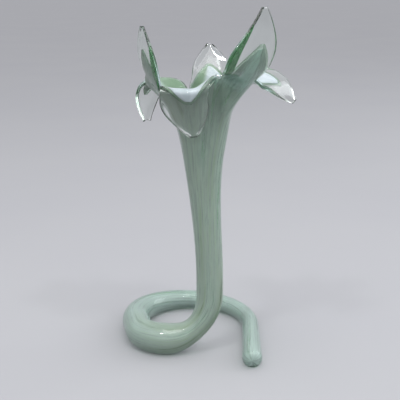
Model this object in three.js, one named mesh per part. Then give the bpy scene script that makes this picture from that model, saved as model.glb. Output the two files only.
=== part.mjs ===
// A hand blown lily vase: a six-petalled mouth on a tapering hollow stem, which bends over at the
// bottom and runs round in a loose coil that the vase stands on. The glass is cased, so every
// stretch of it is three layers: an opal lining, a green layer and a clear outer casing.
// Millimetres, +Z up. The vase stands on z = 0 with the origin under the middle of its outline.
import * as THREE from "three";

// ---- heights ----
const MOUTH_HEIGHT = 256; // level where the flared mouth begins to part into petals
const FLARE_HEIGHT = 42; // from the round top of the throat up to there
const THROAT_HEIGHT = 24; // the widening throat, between the stem and the flare

// ---- outside radii of the glass ----
const THROAT_RADIUS = 22.2;
const STEM_RADIUS = 12.8;
const WAIST_RADIUS = 11.2; // where the glass was pinched as it was bent over
const FOOT_RADIUS = 15.3; // where the bend meets the floor, the fattest of the coil
const THROAT_TAPER = 3.4; // how late the stem widens into the throat

// ---- glass layers, from the outside in ----
const TUBE_CASING = 3.2; // clear
const TUBE_GREEN = 1.2;
const TUBE_OPAL = 1.2;
const PETAL_CASING = 2.8;
const PETAL_GREEN = 0.7;
const PETAL_OPAL = 0.7;
const SEAM = 0.3; // gap between two layers, and between two lengths of one layer
const PETAL_SEAM = PETAL_CASING / 4; // the same gap where the glass is doubly curved

// ---- the foot, seen from above ----
const STEM_LEAN = 6.3; // how far the foot of the stem stands to +X of the mouth
const FOOT_BEARING = 205; // the way the stem sets off as it bends over, in degrees
const BEND_RADIUS = 44;
const BEND_TURN = 32; // degrees it turns to the right while it bends
const FLAT = 0.9; // how far the soft glass slumped flat where it lies
const TIP_LENGTH = 9; // the solid, fire-polished end that seals the tail
// The coil, length by length: degrees turned to the right and round what radius, or how far it
// runs straight, and the outside radius of the glass where that length ends.
const COIL = [
  { part: "coil_front", turn: 70, round: 31, rows: 5, radius: 14.4 },
  { part: "coil_front", run: 19, rows: 1, radius: 14.1 },
  { part: "coil_back", turn: 103, round: 56, rows: 8, radius: 10.3 },
  { part: "coil_back", turn: 92, round: 62, rows: 7, radius: 8.5 },
  { part: "tail", run: 76, rows: 4, radius: 9.6 },
];

// ---- fineness ----
const PETAL_CELLS = 6; // facets across a petal
const PETAL_ROWS = 12;
const THROAT_ROWS = 3;
const FLARE_ROWS = 6;
const STEM_ROWS = 7;
const BEND_ROWS = 7;
const TUBE_SIDES = 16;

// ---- the mouth ----
// Where two petals part: bearing in degrees, distance out from the wall of the throat, height above
// the mouth level, and how early on its way up the glass widens there, from 0 to 1.
const NOTCHES = [
  { bearing: -153, reach: 20.8, rise: 0, early: 0.9 },
  { bearing: -61, reach: 7.8, rise: 11, early: 0 },
  { bearing: -10, reach: 21.8, rise: 6, early: 0 },
  { bearing: 46, reach: 15.8, rise: 2, early: 0 },
  { bearing: 116, reach: 9.8, rise: -8, early: 0 },
  { bearing: 172, reach: 29.8, rise: 4, early: 0.4 },
];
// Each petal runs from one notch to the next. swell and crown are the two handles of its midline,
// tip is its point, all as [distance out from the wall of the throat, height above the mouth level].
// width is how broad it is on each side of its midline, cup how far its edges curl to the inside
// low down (to the outside if negative), tipCup the same at its point, twist turns the blade about
// its midline in degrees, and colour is how many rows of it the green and opal layers reach.
const PETALS = [
  { name: "front", bearing: -106, swell: [4.8, 8], crown: [37.8, 30], tip: [10.8, -37],
    width: [27, 15], cup: -4, tipCup: -4, twist: 12, colour: 6 },
  { name: "right_front", bearing: -43, swell: [4.8, 1], crown: [52.8, 6], tip: [47.8, 74],
    width: [38, 24], cup: 4, tipCup: 0, twist: -5, colour: 7 },
  { name: "right", bearing: 14, swell: [-2.2, 11], crown: [39.8, 19], tip: [64.3, -14],
    width: [14, 25], cup: -3, tipCup: -2, twist: -54, colour: 8 },
  { name: "back", bearing: 83, swell: [0.8, 0], crown: [13.8, 6], tip: [29.8, 36],
    width: [23, 15], cup: 4, tipCup: 3, twist: -5, colour: 7 },
  { name: "left_back", bearing: 145, swell: [3.8, 1], crown: [51.8, 28], tip: [43.8, -35],
    width: [20, 14], cup: -1, tipCup: -3, twist: -9, colour: 7 },
  { name: "left", bearing: 196, swell: [7.8, 1], crown: [33.8, -10], tip: [34.8, 57],
    width: [17, 22], cup: 2, tipCup: 1, twist: -14, colour: 8 },
];
const NOTCH_SHARE = 0.4; // share of a petal's midline that lies below its notches
const TIP_WIDTH = 2.6; // half the breadth of a petal's blunt point
const BLEND = 1 / 3; // share of a petal over which the flare passes into its blade
const PETAL_START = 0.03; // share of a petal left clear where it parts from the flare
const FLARE_START = 0.01; // and shares of the flare left clear at its two ends
const FLARE_END = 0.985;
const PETAL_SPREAD = 0.98; // share of its breadth that it fills, clear of its neighbours
const COLOUR_SPREAD = 0.94; // the same of the colour in it, at the notches
const COLOUR_TIP = 0.1; // and at the colour's point

const RING_HEIGHT = MOUTH_HEIGHT - FLARE_HEIGHT;
const COLLAR_HEIGHT = RING_HEIGHT - THROAT_HEIGHT;
const FOOT_LEVEL = FOOT_RADIUS - FLAT; // of the middle of the glass, where it meets the floor
const BEND_HEIGHT = FOOT_LEVEL + BEND_RADIUS;

const { clamp, lerp, smoothstep, degToRad } = THREE.MathUtils;
const fade = (x) => smoothstep(x, 0, 1);
const UP = new THREE.Vector3(0, 0, 1);
const onBearing = (bearing, reach) =>
  new THREE.Vector3(reach * Math.cos(bearing), reach * Math.sin(bearing), 0);

// ---------------------------------------------------------------- solids from grids of points

// A closed shell between two grids of points, rows by columns. A grid that wraps joins its last
// column to its first.
function shell(face, back, wraps) {
  const rows = face.length;
  const columns = face[0].length;
  const points = [...face.flat(), ...back.flat()];
  const at = (side, row, column) => side * rows * columns + row * columns + (column % columns);
  const quads = [];
  const across = wraps ? columns : columns - 1;
  for (let row = 0; row < rows - 1; row++)
    for (let c = 0; c < across; c++) {
      quads.push([at(0, row, c), at(0, row, c + 1), at(0, row + 1, c + 1), at(0, row + 1, c)]);
      quads.push([at(1, row, c), at(1, row + 1, c), at(1, row + 1, c + 1), at(1, row, c + 1)]);
    }
  const last = rows - 1;
  for (let c = 0; c < across; c++) {
    quads.push([at(0, 0, c), at(1, 0, c), at(1, 0, c + 1), at(0, 0, c + 1)]);
    quads.push([at(0, last, c), at(0, last, c + 1), at(1, last, c + 1), at(1, last, c)]);
  }
  const end = columns - 1;
  for (let row = 0; row < rows - 1 && !wraps; row++) {
    quads.push([at(0, row, 0), at(0, row + 1, 0), at(1, row + 1, 0), at(1, row, 0)]);
    quads.push([at(0, row, end), at(1, row, end), at(1, row + 1, end), at(0, row + 1, end)]);
  }
  return facingOut(points, quads.flatMap(([a, b, c, d]) => [a, b, c, a, c, d]));
}

// The triangles as a geometry whose faces point out of the solid.
function facingOut(points, triangles) {
  let volume = 0;
  for (let i = 0; i < triangles.length; i += 3) {
    const [a, b, c] = [0, 1, 2].map((k) => points[triangles[i + k]]);
    volume += a.dot(new THREE.Vector3().crossVectors(b, c));
  }
  const index = volume < 0 ? triangles.toReversed() : triangles;
  const geometry = new THREE.BufferGeometry().setFromPoints(points);
  geometry.setIndex(index);
  geometry.computeVertexNormals();
  return geometry;
}

// ---------------------------------------------------------------- the tube

// Where the axis of the stem and mouth stands at a height: it leans over towards its foot.
function axisAt(height) {
  const share = (height - BEND_HEIGHT) / (MOUTH_HEIGHT - BEND_HEIGHT);
  return new THREE.Vector3(STEM_LEAN * (1 - fade((share - 0.06) / 0.66)), 0, height);
}

function stemRadiusAt(height) {
  const share = clamp((height - BEND_HEIGHT) / (RING_HEIGHT - BEND_HEIGHT), 0, 1);
  return STEM_RADIUS + (THROAT_RADIUS - STEM_RADIUS) * share ** THROAT_TAPER;
}

// One station of the tube: a round section with its centre, its radius, the way the tube goes on
// and the two directions that span the section. side is level, and lift points up on the floor.
function station(centre, bearing, ahead, radius) {
  const side = onBearing(bearing + Math.PI / 2, 1);
  const lift = new THREE.Vector3().crossVectors(ahead, side).normalize();
  return { centre, side, lift, ahead, radius };
}

function stemStations() {
  const down = UP.clone().negate();
  return Array.from({ length: STEM_ROWS + 1 }, (_, i) => {
    const height = lerp(COLLAR_HEIGHT, BEND_HEIGHT, i / STEM_ROWS);
    return station(axisAt(height), degToRad(FOOT_BEARING), down, stemRadiusAt(height));
  });
}

// From the foot of the stem to the tail: first over and down in a quarter circle that also turns
// to the right, then round the coil, lying on the floor all the way.
function footStations() {
  const place = axisAt(BEND_HEIGHT);
  const quarter = Math.PI / 2;
  let bearing = degToRad(FOOT_BEARING);
  const made = [];
  const add = (part, ...where) => made.push({ part, ...station(...where) });
  for (let i = 0; i <= BEND_ROWS; i++) {
    const share = i / BEND_ROWS;
    const dip = quarter * share;
    if (i > 0) {
      const before = quarter * ((i - 1) / BEND_ROWS);
      const half = degToRad(BEND_TURN) / BEND_ROWS / 2;
      const reach = BEND_RADIUS * (Math.cos(before) - Math.cos(dip));
      place.add(onBearing(bearing - half, reach));
      bearing -= 2 * half;
    }
    const height = FOOT_LEVEL + BEND_RADIUS * (1 - Math.sin(dip));
    const ahead = onBearing(bearing, Math.sin(dip)).addScaledVector(UP, -Math.cos(dip));
    add("bend", place.clone().setZ(height), bearing, ahead, bendRadiusAt(share));
  }
  let radius = FOOT_RADIUS;
  for (const { part, turn = 0, round, run, rows, radius: last } of COIL) {
    const half = degToRad(turn) / rows / 2;
    const step = run ? run / rows : 2 * round * Math.sin(half);
    for (let i = 1; i <= rows; i++) {
      place.add(onBearing(bearing - half, step));
      bearing -= 2 * half;
      const here = lerp(radius, last, i / rows);
      add(part, place.clone().setZ(here - FLAT), bearing, onBearing(bearing, 1), here);
    }
    radius = last;
  }
  return made;
}

// The stations of one part of the foot, from the last station of the part before it.
function lengthOf(foot, name) {
  const first = foot.findIndex(({ part }) => part === name);
  const last = foot.findLastIndex(({ part }) => part === name);
  return foot.slice(Math.max(first - 1, 0), last + 1);
}

function bendRadiusAt(share) {
  if (share < 0.5) return lerp(STEM_RADIUS, WAIST_RADIUS, fade(share / 0.5));
  return lerp(WAIST_RADIUS, FOOT_RADIUS, fade((share - 0.5) / 0.5));
}

// The ring of points round a station at a depth below the outside of the glass. Half a step of
// turn puts a facet, not a corner, on the floor, and what would dip below the floor lies flat.
function sectionOf({ centre, side, lift, radius }, depth) {
  return Array.from({ length: TUBE_SIDES }, (_, i) => {
    const angle = ((i + 0.5) / TUBE_SIDES) * 2 * Math.PI - Math.PI / 2;
    const point = centre.clone();
    point.addScaledVector(side, (radius - depth) * Math.cos(angle));
    point.addScaledVector(lift, (radius - depth) * Math.sin(angle));
    point.z = Math.max(point.z, 0);
    return point;
  });
}

// A length of one layer of the tube, drawn in by the seam at each end.
function tubeLayer(stations, outer, inner) {
  const trimmed = stations.map((s) => ({ ...s, centre: s.centre.clone() }));
  trimmed[0].centre.addScaledVector(trimmed[0].ahead, SEAM / 2);
  trimmed.at(-1).centre.addScaledVector(trimmed.at(-1).ahead, -SEAM / 2);
  const grid = (depth) => trimmed.map((s) => sectionOf(s, depth));
  return shell(grid(outer), grid(inner), true);
}

// The sealed end of the tail: a solid dome as wide as the tube, flat where it lies.
function tailTip(end) {
  const rings = 5;
  const along = (share) => {
    const reach = SEAM / 2 + TIP_LENGTH * Math.sin(share * (Math.PI / 2));
    return end.centre.clone().addScaledVector(end.ahead, reach);
  };
  const grid = Array.from({ length: rings }, (_, i) => {
    const radius = end.radius * Math.cos((i / rings) * (Math.PI / 2));
    return sectionOf({ ...end, centre: along(i / rings), radius }, 0);
  });
  return skinned(grid, along(0), along(1));
}

// A solid skinned over rings of points, closed by a point at each end.
function skinned(rings, first, last) {
  const sides = rings[0].length;
  const points = [...rings.flat(), first, last];
  const triangles = [];
  const at = (ring, i) => ring * sides + (i % sides);
  for (let i = 0; i < sides; i++) {
    triangles.push(points.length - 2, at(0, i + 1), at(0, i));
    triangles.push(points.length - 1, at(rings.length - 1, i), at(rings.length - 1, i + 1));
    for (let r = 0; r < rings.length - 1; r++) {
      triangles.push(at(r, i), at(r, i + 1), at(r + 1, i + 1));
      triangles.push(at(r, i), at(r + 1, i + 1), at(r + 1, i));
    }
  }
  return facingOut(points, triangles);
}

// ---------------------------------------------------------------- the mouth

// A point of a curve in the plane of one bearing: from the top of the throat, past two handles,
// to an end, as distance from the axis and height. share runs from 0 to 1.
function profile(swell, crown, end, share) {
  const placed = [swell, crown, end].map(([reach, rise]) =>
    [THROAT_RADIUS + reach, MOUTH_HEIGHT + rise, 0]);
  const points = [[THROAT_RADIUS, RING_HEIGHT, 0], ...placed];
  const curve = new THREE.CubicBezierCurve3(...points.map((p) => new THREE.Vector3(...p)));
  return curve.getPointAt(share);
}

function notchProfile({ reach, rise, early }, share) {
  const swell = [reach * (0.12 + 0.2 * early), -12 - 12 * early];
  const crown = [reach * (0.6 + 0.1 * early), rise - 8 - 4 * early];
  return profile(swell, crown, [reach, rise], share);
}

const roundAxis = (bearing, reach, height) => axisAt(height).add(onBearing(bearing, reach));

// The notches on the two sides of a petal, with the second one's bearing counted past the first.
function notchesOf(index) {
  const before = NOTCHES[index];
  const after = NOTCHES[(index + 1) % NOTCHES.length];
  const bearing = after.bearing < before.bearing ? after.bearing + 360 : after.bearing;
  return [before, { ...after, bearing }];
}

const notchAt = (index, across) => notchesOf(index)[across < 0 ? 0 : 1];

// The bearing of a place across a petal, where across runs from -1 at one notch to 1 at the next.
const bearingAt = (index, across) =>
  degToRad(lerp(PETALS[index].bearing, notchAt(index, across).bearing, Math.abs(across)));

// The outside of the flare below the notches. share runs from 0 at the throat to 1 at the notches.
function flarePoint(index, across, share) {
  const petal = PETALS[index];
  const middle = profile(petal.swell, petal.crown, petal.tip, share * NOTCH_SHARE);
  const edge = notchProfile(notchAt(index, across), share);
  const weight = Math.sin((Math.abs(across) * Math.PI) / 2) ** 2;
  const reach = lerp(middle.x, edge.x, weight);
  return roundAxis(bearingAt(index, across), reach, lerp(middle.y, edge.y, weight));
}

// The outside of the free part of a petal. share runs from 0 at the notches to 1 at the tip.
function bladePoint(index, across, share) {
  const petal = PETALS[index];
  const along = (x) => {
    const p = profile(petal.swell, petal.crown, petal.tip, lerp(NOTCH_SHARE, 1, x));
    return roundAxis(degToRad(petal.bearing), p.x, p.y);
  };
  const ahead = along(Math.min(share + 0.01, 1)).sub(along(Math.max(share - 0.01, 0))).normalize();
  const level = onBearing(degToRad(petal.bearing + 90), 1);
  const inward = new THREE.Vector3().crossVectors(ahead, level).normalize();
  const twist = degToRad(petal.twist) * fade(share);
  const blade = level.clone().multiplyScalar(Math.cos(twist));
  blade.addScaledVector(inward, -Math.sin(twist));
  const body = Math.max(Math.sin(Math.PI * share ** 0.8), 0) ** 0.8;
  const start = halfSpan(index, across);
  const broad = petal.width[across < 0 ? 0 : 1];
  const width = lerp(start, TIP_WIDTH, share ** 1.6) * (1 - body) + broad * body;
  const taper = 1 - fade((share - 0.45) / 0.55) * 0.35;
  const curl = lerp(petal.cup, petal.tipCup, share) * across * across;
  return along(share)
    .addScaledVector(blade, Math.max(width * taper, TIP_WIDTH) * across)
    .addScaledVector(inward, curl);
}

// Half the breadth of a petal at its notches, on one side of its midline.
function halfSpan(index, across) {
  const notch = notchAt(index, across);
  const swing = Math.abs(Math.sin(degToRad(notch.bearing - PETALS[index].bearing)));
  return (THROAT_RADIUS + notch.reach) * swing;
}

// The outside of the mouth, from the throat (share -1) past the notches (0) to a petal's tip (1).
// Just above the notches it passes smoothly from the flare into the blade.
function petalPoint(index, across, share) {
  if (share <= 0) return flarePoint(index, across, 1 + share);
  if (share >= BLEND) return bladePoint(index, across, share);
  const from = flarePoint(index, across, 1);
  const to = bladePoint(index, across, BLEND);
  const pull = from.distanceTo(to) / 3;
  const leave = from.clone().sub(flarePoint(index, across, 0.9)).setLength(pull);
  const arrive = bladePoint(index, across, BLEND + 0.05).sub(to).setLength(pull);
  const handles = [from.clone().add(leave), to.clone().sub(arrive)];
  return new THREE.CubicBezierCurve3(from, ...handles, to).getPoint(share / BLEND);
}

// The outward direction at a point of the mouth, where share is counted from the notches and is
// negative in the flare.
function outwardAt(index, across, share) {
  const step = 0.02;
  const inFlare = share <= 0;
  let left = petalPoint(index, Math.max(across - step, -1), share);
  let right = petalPoint(index, Math.min(across + step, 1), share);
  if (inFlare && across <= -1) left = petalPoint((index + 5) % 6, 1 - step, share);
  if (inFlare && across >= 1) right = petalPoint((index + 1) % 6, -1 + step, share);
  const below = petalPoint(index, across, Math.max(share - step, -1));
  const above = petalPoint(index, across, Math.min(share + step, inFlare ? 0 : 1));
  return new THREE.Vector3().crossVectors(right.sub(left), above.sub(below)).normalize();
}

// Near its notches a petal faces the way the flare does, so that the two meet squarely.
function facing(index, across, share) {
  const free = outwardAt(index, across, share);
  if (share <= 0) return free;
  return outwardAt(index, across, 0).lerp(free, fade(share / 0.2)).normalize();
}

const layered = (index, across, share, depth) =>
  petalPoint(index, across, share).addScaledVector(facing(index, across, share), -depth);

// A layer of a petal: a slab between two depths, over so many of the petal's rows. A pointed
// layer narrows to its end, as the colour does. Its corners lie on the petal's own facets, so
// that the layers nest.
function petalLayer(index, outer, inner, rows, pointed) {
  const grid = (depth) =>
    Array.from({ length: rows + 1 }, (_, row) => {
      const share = lerp(PETAL_START, 1, row / PETAL_ROWS);
      const facets = acrossPetal((across) => layered(index, across * PETAL_SPREAD, share, depth));
      const spread = pointed ? lerp(COLOUR_SPREAD, COLOUR_TIP, (row / rows) ** 2.2) : 1;
      return acrossPetal((across) => {
        const cell = (PETAL_CELLS * (1 + across * spread)) / 2;
        const first = Math.min(Math.floor(cell), PETAL_CELLS - 1);
        return facets[first].clone().lerp(facets[first + 1], cell - first);
      });
    });
  return shell(grid(outer), grid(inner), false);
}
const acrossPetal = (make) =>
  Array.from({ length: PETAL_CELLS + 1 }, (_, c) => make(lerp(-1, 1, c / PETAL_CELLS)));

// One ring of points round the mouth, made place by place across all the petals.
const aroundMouth = (make) =>
  PETALS.flatMap((_, index) =>
    Array.from({ length: PETAL_CELLS }, (_, c) => make(index, lerp(-1, 1, c / PETAL_CELLS))));

// A layer of the throat, which is round up to the ring where the flare begins.
function throatLayer(outer, inner) {
  const grid = (depth) =>
    Array.from({ length: THROAT_ROWS + 1 }, (_, row) => {
      const share = row / THROAT_ROWS;
      const height = lerp(COLLAR_HEIGHT + SEAM / 2, RING_HEIGHT - SEAM / 2, share);
      const radius = stemRadiusAt(height) - depth;
      return aroundMouth((index, across) => roundAxis(bearingAt(index, across), radius, height));
    });
  return shell(grid(outer), grid(inner), true);
}

// A layer of the flare, from the ring to the notches all the way round. It thins on the way, from
// the tube's depths to the petals'.
function flareLayer(tube, petal) {
  const grid = (side) =>
    Array.from({ length: FLARE_ROWS + 1 }, (_, row) => {
      const share = lerp(FLARE_START, FLARE_END, row / FLARE_ROWS) - 1;
      const depth = lerp(tube[side], petal[side], fade(row / FLARE_ROWS));
      return aroundMouth((index, across) => layered(index, across, share, depth));
    });
  return shell(grid(0), grid(1), true);
}

// ---------------------------------------------------------------- the three layers

function depths(casing, green, opal, seam) {
  const greenTop = casing + seam;
  const opalTop = greenTop + green + seam;
  return {
    clear: [0, casing],
    green: [greenTop, greenTop + green],
    opal: [opalTop, opalTop + opal],
  };
}
const TUBE_DEPTHS = depths(TUBE_CASING, TUBE_GREEN, TUBE_OPAL, SEAM);
const PETAL_DEPTHS = depths(PETAL_CASING, PETAL_GREEN, PETAL_OPAL, PETAL_SEAM);

const clearGlass = () =>
  new THREE.MeshStandardMaterial({ color: 0xdfe8e4, roughness: 0.05, metalness: 0 });
const greenGlass = () =>
  new THREE.MeshStandardMaterial({ color: 0x7f9c84, roughness: 0.15, metalness: 0 });
const opalGlass = () =>
  new THREE.MeshStandardMaterial({ color: 0xb9c4c6, roughness: 0.2, metalness: 0 });

const FOOT_PARTS = ["bend", "coil_front", "coil_back", "tail"];
const LAYERS = [
  { name: "clear_casing", key: "clear", material: clearGlass },
  { name: "green_layer", key: "green", material: greenGlass },
  { name: "opal_lining", key: "opal", material: opalGlass },
];

function buildVase() {
  const vase = new THREE.Group();
  const add = (name, geometry, material) => {
    const mesh = new THREE.Mesh(geometry, material);
    mesh.name = name;
    vase.add(mesh);
  };
  const stem = stemStations();
  const foot = footStations();
  for (const { name, key, material } of LAYERS) {
    const tube = TUBE_DEPTHS[key];
    const petal = PETAL_DEPTHS[key];
    add(`${name}_flare`, flareLayer(tube, petal), material());
    add(`${name}_throat`, throatLayer(...tube), material());
    add(`${name}_stem`, tubeLayer(stem, ...tube), material());
    for (const part of FOOT_PARTS)
      add(`${name}_${part}`, tubeLayer(lengthOf(foot, part), ...tube), material());
    PETALS.forEach(({ name: side, colour }, index) => {
      const clear = key === "clear";
      const made = petalLayer(index, ...petal, clear ? PETAL_ROWS : colour, !clear);
      add(`${name}_petal_${side}`, made, material());
    });
  }
  add("sealed_tail_tip", tailTip(foot.at(-1)), clearGlass());
  const outline = new THREE.Box3().setFromObject(vase);
  const middle = outline.getCenter(new THREE.Vector3());
  vase.position.set(-middle.x, -middle.y, -outline.min.z);
  return vase;
}

export default buildVase();
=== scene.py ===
import math

import bpy
import numpy as np
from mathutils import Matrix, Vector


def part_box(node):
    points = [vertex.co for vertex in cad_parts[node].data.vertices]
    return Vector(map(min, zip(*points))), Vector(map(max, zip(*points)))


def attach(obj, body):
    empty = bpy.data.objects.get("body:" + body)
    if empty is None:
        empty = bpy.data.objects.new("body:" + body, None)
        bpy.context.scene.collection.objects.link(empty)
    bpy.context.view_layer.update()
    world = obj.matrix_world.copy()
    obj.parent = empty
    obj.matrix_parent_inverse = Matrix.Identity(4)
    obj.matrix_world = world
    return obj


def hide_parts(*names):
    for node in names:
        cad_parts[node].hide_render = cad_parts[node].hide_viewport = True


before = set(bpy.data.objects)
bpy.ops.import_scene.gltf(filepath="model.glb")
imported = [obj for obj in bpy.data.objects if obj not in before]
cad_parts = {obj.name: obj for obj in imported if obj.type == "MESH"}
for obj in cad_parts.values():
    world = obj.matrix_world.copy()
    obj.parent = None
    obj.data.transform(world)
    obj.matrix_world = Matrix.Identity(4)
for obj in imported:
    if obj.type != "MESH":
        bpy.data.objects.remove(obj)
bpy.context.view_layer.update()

# The looks of a hand blown lily vase of cased glass. One continuous clear body holds two thin
# coloured sheets, a streaked green one over an opal white one, and some dark green strips near
# the petals' edges. They all follow one outer surface, which runs from the petal tips down the
# stem and round the coil to the sealed tail.
# The design's sizes are in millimetres; to_row turns a point into the frame's metres.

# ---- heights and outside radii ----
MOUTH_HEIGHT = 256
RING_HEIGHT = 214
THROAT_RADIUS = 22.2
STEM_RADIUS = 12.8
WAIST_RADIUS = 11.2
FOOT_RADIUS = 15.3
THROAT_TAPER = 3.4

# ---- the foot ----
STEM_LEAN = 6.3
FOOT_BEARING = 205
BEND_RADIUS = 44
BEND_TURN = 32
FLAT = 0.9
TIP_LENGTH = 9
FOOT_LEVEL = FOOT_RADIUS - FLAT
BEND_HEIGHT = FOOT_LEVEL + BEND_RADIUS
# degrees turned to the right and round what radius, or how far it runs straight, then the
# outside radius where that length ends
COIL = [
    (70, 31, 14.4),
    (0, 19, 14.1),
    (103, 56, 10.3),
    (92, 62, 8.5),
    (0, 76, 9.6),
]

# ---- the mouth ----
# Where two petals part: bearing, distance from the axis, height above the mouth level, and how
# early on its way up the glass widens there, from 0 to 1.
NOTCHES = [
    (-153, 43, 0, 0.9),
    (-61, 30, 11, 0),
    (-10, 44, 6, 0),
    (46, 38, 2, 0),
    (116, 32, -8, 0),
    (172, 52, 4, 0.4),
]
# swell and crown are the handles of a petal's midline and tip its point, as distance from the
# axis and height above the mouth level. width is how broad it is on each side of its midline,
# cup how far its edges curl inwards low down, tip_cup the same at its point, twist how far the
# blade turns about its midline, and colour the share of the petal that colour reaches.
PETALS = [
    dict(name="front", bearing=-106, swell=(27, 8), crown=(60, 30), tip=(33, -37),
         width=(27, 15), cup=-4, tip_cup=-4, twist=12, colour=0.46),
    dict(name="right_front", bearing=-43, swell=(27, 1), crown=(75, 6), tip=(70, 74),
         width=(38, 24), cup=4, tip_cup=0, twist=-5, colour=0.6),
    dict(name="right", bearing=14, swell=(20, 11), crown=(62, 19), tip=(86.5, -14),
         width=(14, 25), cup=-3, tip_cup=-2, twist=-54, colour=0.68),
    dict(name="back", bearing=83, swell=(23, 0), crown=(36, 6), tip=(52, 36),
         width=(23, 15), cup=4, tip_cup=3, twist=-5, colour=0.58),
    dict(name="left_back", bearing=145, swell=(26, 1), crown=(74, 28), tip=(66, -35),
         width=(20, 14), cup=-1, tip_cup=-3, twist=-9, colour=0.6),
    dict(name="left", bearing=196, swell=(30, 1), crown=(56, -10), tip=(57, 57),
         width=(17, 22), cup=2, tip_cup=1, twist=-14, colour=0.68),
]
NOTCH_SHARE = 0.4  # share of a petal's midline that lies below its notches
TIP_WIDTH = 2.6  # half the breadth of a petal's blunt point
BLEND = 1 / 3  # share of a petal over which the flare passes into its blade

# ---- the glass ----
TUBE_WALL = 6.2
NOTCH_WALL = 4.8
TIP_WALL = 3.2
SHEET = 0.5  # thickness of a coloured sheet
GREEN_DEPTH = 0.5  # where the sheets lie, as a share of the wall
OPAL_DEPTH = 0.7
STRIP_DEPTH = 0.3  # the same for the middle of a dark strip
STRIP_HALF = 0.12  # and half its thickness
STRIP_START = 0.06  # share of a petal where a strip begins
STRIP_EDGE = 0.95  # how far out across a petal a strip lies
# petal, side, how far up the petal the strip reaches, how far in across it
STRIPS = [
    ("right_front", -1, 0.82, 0.72),
    ("right_front", 1, 0.9, 0.88),
    ("left", 1, 0.72, 0.62),
    ("right", 1, 0.6, 0.8),
]

# ---- fineness ----
CELLS = 16  # facets across a petal
BLADE_ROWS = 26
FLARE_ROWS = 12
RING_STEP = 3.2  # millimetres between two rings of the tube
DOME_ROWS = 6
LIP_ROWS = 3  # facets round the edge of the glass
LIP_BULGE = 0.5  # how far the edge rounds out, as a share of the wall
STRIP_ROWS = 24
STRIP_CELLS = 4
RELAX_ROUNDS = 6  # how often the bend below the flare is smoothed
RELAX_ROWS = 4  # how many rings on each side of it
COLUMNS = CELLS * len(PETALS)

MM = 0.001


def lerp(a, b, t):
    return a + (b - a) * t


def fade(x):
    x = np.clip(x, 0, 1)
    return x * x * (3 - 2 * x)


def unit(v):
    return v / np.maximum(np.linalg.norm(v, axis=-1, keepdims=True), 1e-9)


def on_bearing(bearing, reach):
    bearing, reach = np.broadcast_arrays(bearing, reach)
    return np.stack([reach * np.cos(bearing), reach * np.sin(bearing), 0 * reach], axis=-1)


# ------------------------------------------------------------------ the outer surface


def axis_x(height):
    share = (height - BEND_HEIGHT) / (MOUTH_HEIGHT - BEND_HEIGHT)
    return STEM_LEAN * (1 - fade((share - 0.06) / 0.66))


def round_axis(bearing, reach, height):
    point = on_bearing(bearing, reach)
    point[..., 0] += axis_x(height)
    point[..., 2] = height
    return point


def stem_radius(height):
    share = np.clip((height - BEND_HEIGHT) / (RING_HEIGHT - BEND_HEIGHT), 0, 1)
    return STEM_RADIUS + (THROAT_RADIUS - STEM_RADIUS) * share**THROAT_TAPER


def bezier(points, t):
    a, b, c, d = (np.asarray(p, float) for p in points)
    t = np.asarray(t)[..., None]
    u = 1 - t
    return a * u**3 + 3 * b * u * u * t + 3 * c * u * t * t + d * t**3


def profile(swell, crown, end, share):
    """A curve from the top of the throat, by share of its length: distance from the axis, height."""
    points = [(THROAT_RADIUS, RING_HEIGHT)]
    points += [(reach, MOUTH_HEIGHT + rise) for reach, rise in (swell, crown, end)]
    t = np.linspace(0, 1, 201)
    steps = np.linalg.norm(np.diff(bezier(points, t), axis=0), axis=1)
    length = np.concatenate([[0], np.cumsum(steps)])
    return bezier(points, np.interp(share, length / length[-1], t))


def notch_profile(notch, share):
    _, reach, rise, early = notch
    swell = (lerp(THROAT_RADIUS, reach, 0.12 + 0.2 * early), -12 - 12 * early)
    crown = (lerp(THROAT_RADIUS, reach, 0.6 + 0.1 * early), rise - 8 - 4 * early)
    return profile(swell, crown, (reach, rise), share)


def notches_of(index):
    before = NOTCHES[index]
    after = NOTCHES[(index + 1) % len(NOTCHES)]
    if after[0] < before[0]:
        after = (after[0] + 360, *after[1:])
    return before, after


def flare(index, across, share):
    petal = PETALS[index]
    before, after = notches_of(index)
    across, share = np.broadcast_arrays(across, share)
    far = np.abs(across)
    notch_bearing = np.where(across < 0, before[0], after[0])
    bearing = np.radians(lerp(petal["bearing"], notch_bearing, far))
    middle = profile(petal["swell"], petal["crown"], petal["tip"], share * NOTCH_SHARE)
    edge = np.where((across < 0)[..., None], notch_profile(before, share), notch_profile(after, share))
    mixed = lerp(middle, edge, (np.sin(far * math.pi / 2) ** 2)[..., None])
    return round_axis(bearing, mixed[..., 0], mixed[..., 1])


def blade(index, across, share):
    petal = PETALS[index]
    across, share = np.broadcast_arrays(across, share)
    turned = math.radians(petal["bearing"])

    def along(x):
        p = profile(petal["swell"], petal["crown"], petal["tip"], lerp(NOTCH_SHARE, 1, x))
        return round_axis(turned, p[..., 0], p[..., 1])

    ahead = unit(along(np.minimum(share + 0.01, 1)) - along(np.maximum(share - 0.01, 0)))
    level = on_bearing(turned + math.pi / 2, 1.0)
    inward = unit(np.cross(ahead, level))
    twist = math.radians(petal["twist"]) * fade(share)
    side = level * np.cos(twist)[..., None] - inward * np.sin(twist)[..., None]
    body = np.maximum(np.sin(math.pi * share**0.8), 0) ** 0.8
    before, after = notches_of(index)
    spans = [n[1] * abs(math.sin(math.radians(n[0] - petal["bearing"]))) for n in (before, after)]
    start = np.where(across < 0, *spans)
    broad = np.where(across < 0, *petal["width"])
    width = lerp(start, TIP_WIDTH, share**1.6) * (1 - body) + broad * body
    taper = 1 - fade((share - 0.45) / 0.55) * 0.35
    reach = np.maximum(width * taper, TIP_WIDTH) * across
    curl = lerp(petal["cup"], petal["tip_cup"], share) * across**2
    return along(share) + side * reach[..., None] + inward * curl[..., None]


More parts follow.
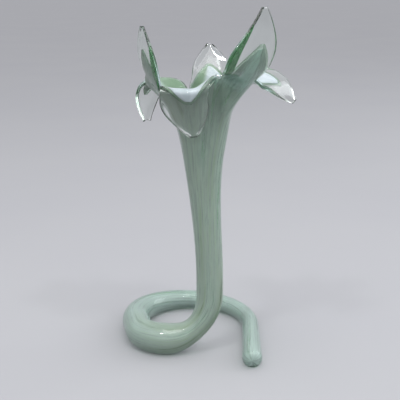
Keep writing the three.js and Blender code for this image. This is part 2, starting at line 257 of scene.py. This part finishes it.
def petal_surface(index, across, share):
    """From the throat (share -1) past the notches (0) to the tip (1)."""
    across, share = np.broadcast_arrays(across, share)
    low = flare(index, across, 1 + np.minimum(share, 0))
    high = blade(index, across, np.maximum(share, BLEND))
    start = flare(index, across, np.ones_like(share))
    end = blade(index, across, np.full_like(share, BLEND))
    pull = np.linalg.norm(end - start, axis=-1, keepdims=True) / 3
    leave = unit(start - flare(index, across, np.full_like(share, 0.9))) * pull
    arrive = unit(blade(index, across, np.full_like(share, BLEND + 0.05)) - end) * pull
    t = np.clip(share / BLEND, 0, 1)[..., None]
    u = 1 - t
    between = start * u**3 + 3 * (start + leave) * u * u * t + 3 * (end - arrive) * u * t * t + end * t**3
    share = share[..., None]
    return np.where(share <= 0, low, np.where(share >= BLEND, high, between))


def tube_stations():
    """Places, radii and section directions along the glass, from the ring to the end of the tail."""
    made = []
    heights = np.arange(RING_HEIGHT - RING_STEP, BEND_HEIGHT + RING_STEP / 2, -RING_STEP)
    bearing = math.radians(FOOT_BEARING)
    for height in heights:
        place = np.array([axis_x(height), 0, height])
        made.append((place, stem_radius(height), bearing, -math.pi / 2))
    place = np.array([axis_x(BEND_HEIGHT), 0.0, BEND_HEIGHT])
    rows = math.ceil(BEND_RADIUS * math.pi / 2 / RING_STEP)
    half = math.radians(BEND_TURN) / rows / 2
    for i in range(rows + 1):
        dip = math.pi / 2 * i / rows
        if i:
            before = math.pi / 2 * (i - 1) / rows
            reach = BEND_RADIUS * (math.cos(before) - math.cos(dip))
            place = place + on_bearing(bearing - half, reach)
            bearing -= 2 * half
        share = i / rows
        radius = lerp(STEM_RADIUS, WAIST_RADIUS, fade(share / 0.5))
        if share > 0.5:
            radius = lerp(WAIST_RADIUS, FOOT_RADIUS, fade(share / 0.5 - 1))
        place = np.array([place[0], place[1], FOOT_LEVEL + BEND_RADIUS * (1 - math.sin(dip))])
        made.append((place, radius, bearing, dip - math.pi / 2))
    radius = FOOT_RADIUS
    for turn, size, last in COIL:
        length = math.radians(turn) * size if turn else size
        rows = math.ceil(length / RING_STEP)
        half = math.radians(turn) / rows / 2
        step = 2 * size * math.sin(half) if turn else size / rows
        for i in range(1, rows + 1):
            place = place + on_bearing(bearing - half, step)
            bearing -= 2 * half
            here = lerp(radius, last, i / rows)
            made.append((np.array([place[0], place[1], here - FLAT]), here, bearing, 0.0))
        radius = last
    return made


def tube_rows(bearings):
    """Rings of points, one point for each bearing round the stem."""
    angles = math.radians(90 + FOOT_BEARING) - bearings
    rows = []
    stations = tube_stations()
    end, radius, bearing, _ = stations[-1]
    for i in range(1, DOME_ROWS):
        swing = math.pi / 2 * i / DOME_ROWS
        centre = end + on_bearing(bearing, TIP_LENGTH * math.sin(swing))
        stations.append((centre, radius * math.cos(swing), bearing, 0.0))
    for centre, size, heading, pitch in stations:
        ahead = on_bearing(heading, math.cos(pitch)) + (0, 0, math.sin(pitch))
        side = on_bearing(heading + math.pi / 2, 1.0)
        lift = np.cross(ahead, side)
        ring = centre + size * (np.outer(np.cos(angles), side) + np.outer(np.sin(angles), lift))
        ring[:, 2] = np.maximum(ring[:, 2], 0)
        rows.append(ring)
    pole = end + on_bearing(bearing, TIP_LENGTH)
    return np.array(rows), pole


class Surface:
    """The outer surface of the glass as points and quads. spread(share) is how much of a petal's
    breadth it covers and reach(index) how much of its length."""

    def __init__(self, spread, reach):
        cells = np.linspace(-1, 1, CELLS + 1)
        shares = np.linspace(0, -1, FLARE_ROWS + 1)[:, None]
        sides = [petal_surface(i, cells[None, :-1], shares) for i in range(len(PETALS))]
        flared = np.concatenate(sides, axis=1)
        bearings = []
        for i, petal in enumerate(PETALS):
            before, after = notches_of(i)
            notch = np.where(cells[:-1] < 0, before[0], after[0])
            bearings.append(np.radians(lerp(petal["bearing"], notch, np.abs(cells[:-1]))))
        self.bearings = np.concatenate(bearings)
        tube, pole = tube_rows(self.bearings)
        rings = self.relaxed(np.concatenate([flared, tube]))
        points = [rings.reshape(-1, 3)]
        self.quads = self.wrapped_quads(len(rings))
        self.pole = rings.shape[0] * COLUMNS
        points.append(pole[None])
        count = self.pole + 1
        self.loop = []
        blade_rows = np.linspace(0, 1, BLADE_ROWS + 1)[1:, None]
        self.across = [np.tile(np.tile(np.abs(cells[:-1]), len(PETALS)), len(rings)), [0]]
        self.share = [np.repeat(np.concatenate([shares[:, 0], np.full(len(tube), -1.0)]), COLUMNS), [-1]]
        for i in range(len(PETALS)):
            rows = blade_rows * reach(i)
            made = petal_surface(i, cells[None] * spread(blade_rows), rows)
            points.append(made.reshape(-1, 3))
            first = [(i * CELLS + c) % COLUMNS for c in range(CELLS + 1)]
            ids = np.arange(BLADE_ROWS * (CELLS + 1)).reshape(BLADE_ROWS, -1) + count
            count += ids.size
            grid = np.vstack([first, ids])
            self.quads += self.grid_quads(grid)
            self.loop += [*grid[:-1, 0], *grid[-1, :-1], *grid[:0:-1, -1]]
            self.across.append(np.tile(np.abs(cells), BLADE_ROWS))
            self.share.append(np.repeat(rows[:, 0], CELLS + 1))
        self.points = np.concatenate(points)
        self.across = np.concatenate(self.across)
        self.share = np.concatenate(self.share)
        self.fans = [(self.pole - COLUMNS + c, self.pole, self.pole - COLUMNS + (c + 1) % COLUMNS)
                     for c in range(COLUMNS)]
        self.normals = self.vertex_normals()
        self.flow = self.flow_of()

    @staticmethod
    def relaxed(rings):
        """Smooths the bend where the throat passes into the flare."""
        for _ in range(RELAX_ROUNDS):
            for row in range(FLARE_ROWS - RELAX_ROWS, FLARE_ROWS + RELAX_ROWS + 1):
                rings[row] = lerp(rings[row], (rings[row - 1] + rings[row + 1]) / 2, 0.5)
        return rings

    @staticmethod
    def wrapped_quads(rows):
        quads = []
        for row in range(rows - 1):
            for c in range(COLUMNS):
                d = (c + 1) % COLUMNS
                quads.append((row * COLUMNS + c, (row + 1) * COLUMNS + c,
                              (row + 1) * COLUMNS + d, row * COLUMNS + d))
        return quads

    @staticmethod
    def grid_quads(grid):
        return [(grid[r, c], grid[r, c + 1], grid[r + 1, c + 1], grid[r + 1, c])
                for r in range(grid.shape[0] - 1) for c in range(grid.shape[1] - 1)]

    def vertex_normals(self):
        quads = np.array(self.quads)
        a, b, c, d = (self.points[quads[:, k]] for k in range(4))
        face = np.cross(c - a, d - b)
        normals = np.zeros_like(self.points)
        for k in range(4):
            np.add.at(normals, quads[:, k], face)
        normals = unit(normals)
        end = self.points[self.pole] - self.points[self.pole - COLUMNS:self.pole].mean(0)
        normals[self.pole] = unit(end)
        return self.smoothed(normals, quads, 3)

    @staticmethod
    def smoothed(normals, quads, times):
        for _ in range(times):
            total = normals * 2
            for k in range(4):
                np.add.at(total, quads[:, k], normals[quads[:, (k + 1) % 4]])
                np.add.at(total, quads[:, k], normals[quads[:, (k - 1) % 4]])
            normals = unit(total)
        return normals

    def flow_of(self):
        """Coordinates that run with the glass: round it, as a point of a unit circle, and along it."""
        rings = self.points[:self.pole].reshape(-1, COLUMNS, 3)
        centres = rings.mean(1)
        steps = np.linalg.norm(np.diff(centres, axis=0), axis=1)
        along = np.concatenate([[0], np.cumsum(steps)])
        flow = np.zeros_like(self.points)
        flow[:self.pole, 0] = np.tile(np.cos(self.bearings), len(rings))
        flow[:self.pole, 1] = np.tile(np.sin(self.bearings), len(rings))
        flow[:self.pole, 2] = np.repeat(along, COLUMNS)
        flow[self.pole, 2] = along[-1] + 2
        base = self.pole + 1
        for i in range(len(PETALS)):
            columns = [(i * CELLS + c) % COLUMNS for c in range(CELLS + 1)]
            size = BLADE_ROWS * (CELLS + 1)
            block = self.points[base:base + size].reshape(BLADE_ROWS, CELLS + 1, 3)
            middle = np.vstack([self.points[columns[CELLS // 2]][None], block[:, CELLS // 2]])
            length = np.cumsum(np.linalg.norm(np.diff(middle, axis=0), axis=1))
            target = flow[base:base + size].reshape(BLADE_ROWS, CELLS + 1, 3)
            target[..., 0] = np.cos(self.bearings[columns])
            target[..., 1] = np.sin(self.bearings[columns])
            target[..., 2] = -length[:, None]
            base += size
        return flow

    def wall(self):
        """How thick the glass is at each point."""
        at_notch = lerp(NOTCH_WALL, TUBE_WALL, fade(-self.share))
        blade = lerp(NOTCH_WALL, TIP_WALL, np.clip(self.share, 0, 1))
        blade = blade * (1 - 0.2 * self.across**4 * np.clip(self.share * 4, 0, 1))
        return np.where(self.share <= 0, at_notch, blade)


def closed_shell(surface, outer, inner):
    """A closed body between two depths under the surface, with a round lip along the petals."""
    face = surface.points - surface.normals * outer[:, None]
    back = surface.points - surface.normals * inner[:, None]
    count = len(face)
    quads = list(surface.quads) + list(surface.fans)
    quads += [tuple(k + count for k in reversed(q)) for q in quads]
    loop = np.array(surface.loop)
    middle = (face[loop] + back[loop]) / 2
    ahead = np.roll(middle, -1, axis=0) - np.roll(middle, 1, axis=0)
    out = unit(np.cross(ahead, surface.normals[loop]))
    thick = (inner - outer)[loop][:, None]
    lips = [face[loop]]
    for k in range(1, LIP_ROWS):
        swing = math.pi * k / LIP_ROWS
        lips.append(middle + (face[loop] - middle) * math.cos(swing)
                    + out * thick * (LIP_BULGE * math.sin(swing)))
    points = np.concatenate([face, back, *lips[1:]])
    ids = [loop]
    ids += [2 * count + k * len(loop) + np.arange(len(loop)) for k in range(LIP_ROWS - 1)]
    ids.append(loop + count)
    for a, b in zip(ids, ids[1:]):
        for k in range(len(loop)):
            n = (k + 1) % len(loop)
            quads.append((a[k], a[n], b[n], b[k]))

    def for_all(values):
        return np.concatenate([values, values] + [values[loop]] * (LIP_ROWS - 1))

    return points, quads, for_all(surface.flow), for_all(surface.share), for_all(surface.across)


# ------------------------------------------------------------------ pieces


def edge_strip(index, side, reach, inner):
    """A narrow strip of dark green along one edge of a petal, inside the clear glass."""
    rows = np.linspace(STRIP_START, reach, STRIP_ROWS)[:, None]
    along = np.clip((rows - STRIP_START) / (reach - STRIP_START), 0, 1)
    breadth = (STRIP_EDGE - inner) * np.sin(math.pi * along) ** 0.5
    cells = np.linspace(0, 1, STRIP_CELLS + 1)[None]
    across = side * lerp(STRIP_EDGE, STRIP_EDGE - breadth, cells)
    rows = np.broadcast_to(rows, across.shape)
    step = 0.01
    wide = petal_surface(index, across + step, rows) - petal_surface(index, across - step, rows)
    tall = petal_surface(index, across, rows + step) - petal_surface(index, across, rows - step)
    normals = unit(np.cross(wide, tall)).reshape(-1, 3)
    points = petal_surface(index, across, rows).reshape(-1, 3)
    wall = lerp(NOTCH_WALL, TIP_WALL, rows.reshape(-1, 1))
    face = points - normals * wall * (STRIP_DEPTH - STRIP_HALF)
    back = points - normals * wall * (STRIP_DEPTH + STRIP_HALF)
    count = len(points)
    ids = np.arange(count).reshape(rows.shape)
    quads = Surface.grid_quads(ids)
    quads += [tuple(k + count for k in reversed(q)) for q in quads]
    loop = [*ids[:-1, 0], *ids[-1, :-1], *ids[:0:-1, -1], *ids[0, :0:-1]]
    for a, b in zip(loop, loop[1:] + loop[:1]):
        quads.append((a, b, b + count, a + count))
    flow = np.tile(points, (2, 1))
    share = np.tile(rows.ravel(), 2)
    return np.concatenate([face, back]), quads, flow, share, np.tile(np.abs(across).ravel(), 2)


def design_shift():
    """From the design's axes to the frame's, by where the foot of the CAD stem stands."""
    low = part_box("clear_casing_stem")[0].z
    ring = np.array([v.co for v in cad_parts["clear_casing_stem"].data.vertices
                     if v.co.z < low + MM])
    centre = (ring.min(0) + ring.max(0)) / 2
    return np.array([centre[0] - STEM_LEAN * MM, centre[1], 0])


SHIFT = design_shift()


def to_row(points):
    return np.asarray(points) * MM + SHIFT


def make_piece(name, shell, looks):
    points, quads, flow, share, across = shell
    mesh = bpy.data.meshes.new(name)
    mesh.from_pydata(to_row(points).tolist(), [], [tuple(int(k) for k in q) for q in quads])
    mesh.validate()
    attribute = mesh.attributes.new("flow", "FLOAT_VECTOR", "POINT")
    attribute.data.foreach_set("vector", (flow * (1, 1, MM)).astype(np.float32).ravel())
    for label, values in (("share", share), ("across", across)):
        attribute = mesh.attributes.new(label, "FLOAT", "POINT")
        attribute.data.foreach_set("value", np.asarray(values, np.float32))
    mesh.shade_smooth()
    piece = bpy.data.objects.new(name, mesh)
    bpy.context.scene.collection.objects.link(piece)
    mesh.materials.append(looks)
    smooth = piece.modifiers.new("smooth", "SUBSURF")
    smooth.levels = 1
    smooth.render_levels = 1
    return piece


# ------------------------------------------------------------------ materials


class Nodes:
    """Makes nodes and links them in one call."""

    def __init__(self, tree):
        self.tree = tree

    def add(self, kind, settings=None, **inputs):
        node = self.tree.nodes.new("ShaderNode" + kind)
        for key, value in (settings or {}).items():
            setattr(node, key, value)
        for key, value in inputs.items():
            self.put(node.inputs[key.replace("_", " ")], value)
        return node

    def put(self, socket, value):
        if isinstance(value, bpy.types.NodeSocket):
            self.tree.links.new(value, socket)
        else:
            socket.default_value = value

    def math(self, operation, a, b=0.0, clamp=False):
        node = self.add("Math", {"operation": operation, "use_clamp": clamp})
        self.put(node.inputs[0], a)
        self.put(node.inputs[1], b)
        return node.outputs[0]

    def mix(self, factor, a, b):
        node = self.add("Mix", {"data_type": "RGBA"})
        self.put(node.inputs[0], factor)
        self.put(node.inputs[6], a)
        self.put(node.inputs[7], b)
        return node.outputs[2]

    def ramp(self, value, stops):
        node = self.add("ValToRGB")
        self.put(node.inputs[0], value)
        elements = node.color_ramp.elements
        while len(elements) < len(stops):
            elements.new(0.5)
        for element, (place, colour) in zip(elements, stops):
            element.position = place
            element.color = (*colour, 1)
        return node.outputs[0]

    def blend(self, factor, a, b):
        """Mixes two shaders."""
        node = self.add("MixShader")
        for socket, value in zip(node.inputs, (factor, a, b)):
            self.put(socket, value)
        return node.outputs[0]

    def output(self, surface):
        return self.add("OutputMaterial", Surface=surface)

    def attribute(self, name):
        return self.add("Attribute", {"attribute_name": name})

    def noise(self, vector, scale, detail=3.0, roughness=0.5, distortion=0.0):
        node = self.add("TexNoise", Vector=vector, Scale=scale, Detail=detail,
                        Roughness=roughness, Distortion=distortion)
        return node.outputs[0]

    def streaks(self, round_scale, along_scale, offset=0.0, twist=2.5):
        """Coordinates stretched along the glass, turning slowly round it as they go."""
        flow = self.attribute("flow").outputs["Vector"]
        parts = self.add("SeparateXYZ", Vector=flow)
        turned = self.add("VectorRotate", {"rotation_type": "Z_AXIS"}, Vector=flow)
        self.put(turned.inputs["Angle"], self.math("MULTIPLY", parts.outputs[2], twist))
        scaled = self.add("VectorMath", {"operation": "MULTIPLY"})
        self.put(scaled.inputs[0], turned.outputs[0])
        self.put(scaled.inputs[1], (round_scale, round_scale, along_scale))
        moved = self.add("VectorMath", {"operation": "ADD"})
        self.put(moved.inputs[0], scaled.outputs[0])
        self.put(moved.inputs[1], (offset, offset * 1.7, offset * 0.6))
        return moved.outputs[0]


def material(name):
    made = bpy.data.materials.new(name)
    made.use_nodes = True
    tree = made.node_tree
    tree.nodes.clear()
    return made, Nodes(tree)


def through_for_lamps(n, surface, tint):
    """Lets lamps shine through to what the glass holds."""
    path = n.add("LightPath")
    open_shader = n.add("BsdfTransparent", Color=(*tint, 1))
    return n.blend(path.outputs["Is Shadow Ray"], surface, open_shader.outputs[0])


def clear_glass():
    """Fire-polished glass, faintly rippled, which turns green where one looks through much of it."""
    made, n = material("clear_glass")
    wave = n.noise(n.streaks(2.2, 55), 1.0, 2.0)
    ripple = n.noise(n.add("TexCoord").outputs["Object"], 90.0, 2.0)
    height = n.math("ADD", n.math("MULTIPLY", wave, 0.8), n.math("MULTIPLY", ripple, 0.2))
    bump = n.add("Bump", Strength=0.22, Distance=0.0012, Height=height)
    smudge = n.noise(n.add("TexCoord").outputs["Object"], 40.0, 4.0)
    rough = n.math("MULTIPLY", smudge, 0.03)
    tint = n.ramp(smudge, [(0.3, (0.975, 0.99, 0.98)), (0.7, (0.99, 0.995, 0.99))])
    glass = n.add("BsdfPrincipled", Base_Color=tint, Roughness=rough, IOR=1.5)
    glass.inputs["Transmission Weight"].default_value = 1.0
    n.put(glass.inputs["Normal"], bump.outputs[0])
    surface = through_for_lamps(n, glass.outputs[0], (0.93, 0.95, 0.94))
    depth = n.add("VolumeAbsorption", Color=(0.2, 0.75, 0.35, 1), Density=13.0)
    n.put(n.output(surface).inputs["Volume"], depth.outputs[0])
    return made


def green_glass():
    """Streaks of green that run with the glass, thin enough in places to show the opal under it."""
    made, n = material("green_glass")
    broad = n.noise(n.streaks(1.6, 5, 3.0), 1.0, 3.0, 0.55)
    fine = n.noise(n.streaks(7.0, 9, 11.0), 1.0, 4.0, 0.6)
    swirl = n.noise(n.streaks(3.0, 26, 7.0), 1.0, 3.0, 0.6, 1.4)
    mixed = n.math("ADD", n.math("MULTIPLY", broad, 0.5), n.math("MULTIPLY", fine, 0.3))
    mixed = n.math("ADD", mixed, n.math("MULTIPLY", swirl, 0.2))
    mixed = n.math("ADD", n.math("MULTIPLY", mixed, 3.2), -1.1, True)
    colour = n.ramp(mixed, [
        (0.05, (0.040, 0.090, 0.030)),
        (0.20, (0.370, 0.460, 0.350)),
        (0.50, (0.600, 0.680, 0.630)),
        (0.80, (0.780, 0.850, 0.860)),
    ])
    # paler and bluer round the coil
    along = n.add("SeparateXYZ", Vector=n.attribute("flow").outputs["Vector"]).outputs[2]
    coiled = n.math("MULTIPLY", n.math("ADD", along, -0.24), 12.0, True)
    colour = n.mix(n.math("MULTIPLY", coiled, 0.45), colour, (0.58, 0.69, 0.74, 1))
    # deeper green up the petals, and deepest along their edges
    share = n.attribute("share").outputs["Fac"]
    risen = n.math("MULTIPLY", n.math("ADD", share, 0.3), 1.6, True)
    colour = n.mix(n.math("MULTIPLY", risen, 0.6), colour, (0.13, 0.24, 0.15, 1))
    edge = n.math("POWER", n.attribute("across").outputs["Fac"], 5.0)
    rim = n.math("MULTIPLY", edge, n.math("MULTIPLY", share, 2.0, True))
    colour = n.mix(rim, colour, (0.045, 0.15, 0.05, 1))
    covers = [(0.1, 1.0), (0.4, 0.85), (0.6, 0.5), (0.85, 0.15)]
    cover = n.ramp(mixed, [(place, (amount,) * 3) for place, amount in covers])
    glass = n.add("BsdfPrincipled", Base_Color=colour, Roughness=0.35, IOR=1.45)
    glow = n.add("BsdfTranslucent", Color=colour)
    body = n.blend(0.2, glass.outputs[0], glow.outputs[0])
    hole = n.add("BsdfTransparent", Color=(0.90, 0.97, 0.91, 1))
    n.output(n.blend(cover, hole.outputs[0], body))
    return made


def deep_green():
    """The dark green of the strips near the petals' edges."""
    made, n = material("deep_green")
    cloud = n.noise(n.add("TexCoord").outputs["Object"], 160.0, 3.0, 0.55, 0.6)
    colour = n.ramp(cloud, [(0.3, (0.02, 0.11, 0.03)), (0.7, (0.10, 0.30, 0.13))])
    solid = n.add("BsdfPrincipled", Base_Color=colour, Roughness=0.3, IOR=1.45)
    hole = n.add("BsdfTransparent", Color=(0.55, 0.85, 0.6, 1))
    cover = n.ramp(cloud, [(0.35, (0.25,) * 3), (0.6, (0.95,) * 3)])
    n.output(n.blend(cover, hole.outputs[0], solid.outputs[0]))
    return made


def opal_glass():
    """Milky white in the petals, with painted shade: dark green down in the throat and on the far side of
    the mouth.
    """
    made, n = material("opal_glass")
    cloud = n.noise(n.streaks(2.4, 8, 21.0), 1.0, 4.0, 0.55)
    colour = n.ramp(cloud, [(0.35, (0.60, 0.67, 0.71)), (0.65, (0.74, 0.79, 0.85))])
    # painted shade: dark green mixed in where the inside of the throat and the far side of the mouth lie
    # in shadow
    throat = n.math("MULTIPLY", n.attribute("share").outputs["Fac"], -6.0, True)
    towards = n.add("VectorMath", {"operation": "DOT_PRODUCT"})
    n.put(towards.inputs[0], n.attribute("flow").outputs["Vector"])
    n.put(towards.inputs[1], (-0.55, 0.83, 0))
    far_side_shade = n.math("MULTIPLY", n.math("ADD", towards.outputs["Value"], -0.75), 7.0, True)
    painted_throat_shade = n.math("MAXIMUM", throat, far_side_shade)
    colour = n.mix(n.math("MULTIPLY", painted_throat_shade, 0.85), colour, (0.15, 0.30, 0.14, 1))
    bump = n.add("Bump", Strength=0.1, Distance=0.001, Height=cloud)
    glass = n.add("BsdfPrincipled", Base_Color=colour, Roughness=0.3, IOR=1.45)
    n.put(glass.inputs["Normal"], bump.outputs[0])
    glow = n.add("BsdfTranslucent", Color=colour)
    n.output(n.blend(0.25, glass.outputs[0], glow.outputs[0]))
    return made


def floor_material():
    made, n = material("floor_pale")
    grain = n.noise(n.add("TexCoord").outputs["Object"], 3.0, 3.0)
    colour = n.ramp(grain, [(0.3, (0.45, 0.455, 0.48)), (0.7, (0.465, 0.47, 0.49))])
    plain = n.add("BsdfPrincipled", Base_Color=colour, Roughness=0.9)
    n.output(plain.outputs[0])
    return made


# ------------------------------------------------------------------ the vase


def build_vase():
    whole = Surface(lambda share: np.ones_like(share), lambda index: 1.0)
    wall = whole.wall()
    body = make_piece("glass_body", closed_shell(whole, 0 * wall, wall), clear_glass())
    names = [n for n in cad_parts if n.startswith("clear_casing_")]
    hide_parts(*names, "sealed_tail_tip")
    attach(body, "root")
    sheets = [
        ("green_sheet", "green_layer_", "green_glass", green_glass(), GREEN_DEPTH, 1.0),
        ("opal_sheet", "opal_lining_", "opal_glass", opal_glass(), OPAL_DEPTH, 0.9),
    ]
    for name, prefix, slot, looks, depth, size in sheets:
        def spread(share):
            return lerp(0.96 * size, 0.12, share**2.2)

        def reach(index):
            return PETALS[index]["colour"] * size

        under = Surface(spread, reach)
        top = under.wall() * depth
        piece = make_piece(name, closed_shell(under, top, top + SHEET), looks)
        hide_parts(*[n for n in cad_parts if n.startswith(prefix)])
        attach(piece, "root")


def build_strips():
    looks = deep_green()
    order = [petal["name"] for petal in PETALS]
    for petal, side, reach, inner in STRIPS:
        name = petal + ("_edge_before" if side < 0 else "_edge_after")
        strip = make_piece(name, edge_strip(order.index(petal), side, reach, inner), looks)
        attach(strip, "root")


# ------------------------------------------------------------------ floor, light, camera


def build_floor():
    bpy.ops.mesh.primitive_plane_add(size=60)
    floor = bpy.context.object
    floor.name = "floor"
    floor.data.materials.append(floor_material())


def softbox(name, place, target, size, power, colour=(1, 1, 1)):
    data = bpy.data.lights.new(name, "AREA")
    data.shape = "RECTANGLE"
    data.size, data.size_y = size
    data.energy = power
    data.color = colour
    lamp = bpy.data.objects.new(name, data)
    bpy.context.scene.collection.objects.link(lamp)
    lamp.location = place
    direction = np.array(target) - np.array(place)
    turn = math.atan2(direction[1], direction[0]) - math.pi / 2
    tilt = math.pi / 2 + math.atan2(direction[2], math.hypot(*direction[:2]))
    lamp.rotation_euler = (tilt, 0, turn)


def build_light():
    world = bpy.data.worlds.new("studio")
    bpy.context.scene.world = world
    world.use_nodes = True
    n = Nodes(world.node_tree)
    world.node_tree.nodes.clear()
    rise = n.add("SeparateXYZ", Vector=n.add("TexCoord").outputs["Generated"]).outputs[2]
    sky = n.ramp(rise, [
        (0.0, (0.40, 0.40, 0.42)),
        (0.22, (0.50, 0.50, 0.53)),
        (0.5, (0.80, 0.80, 0.84)),
        (1.0, (0.90, 0.90, 0.90)),
    ])
    glow = n.add("Background", Color=sky, Strength=1.0)
    out = n.add("OutputWorld")
    n.put(out.inputs["Surface"], glow.outputs[0])
    softbox("overhead", (0, -0.35, 1.6), (0, 0, 0.1), (0.9, 0.9), 7)
    softbox("window_left", (-0.55, -0.75, 1.5), (0, 0, 0.1), (0.12, 0.12), 3)
    softbox("window_right", (0.6, -0.7, 1.5), (0, 0, 0.1), (0.12, 0.12), 3)
    softbox("side_fill", (2.2, 0.6, 1.2), (0, 0, 0.15), (1.4, 1.4), 14, (0.95, 0.97, 1.0))


def build_camera():
    data = bpy.data.cameras.new("camera")
    data.sensor_width = 36
    data.lens = 72.2
    camera = bpy.data.objects.new("camera", data)
    bpy.context.scene.collection.objects.link(camera)
    camera.location = to_row((-3, -720, 350))
    camera.rotation_euler = (math.radians(90 - 15.3), 0, 0)
    bpy.context.scene.camera = camera


build_vase()
build_strips()
build_floor()
build_light()
build_camera()
bpy.context.scene.view_settings.view_transform = "Standard"
bpy.context.scene.cycles.transparent_max_bounces = 24
bpy.context.scene.cycles.max_bounces = 16
bpy.context.scene.cycles.transmission_bounces = 16
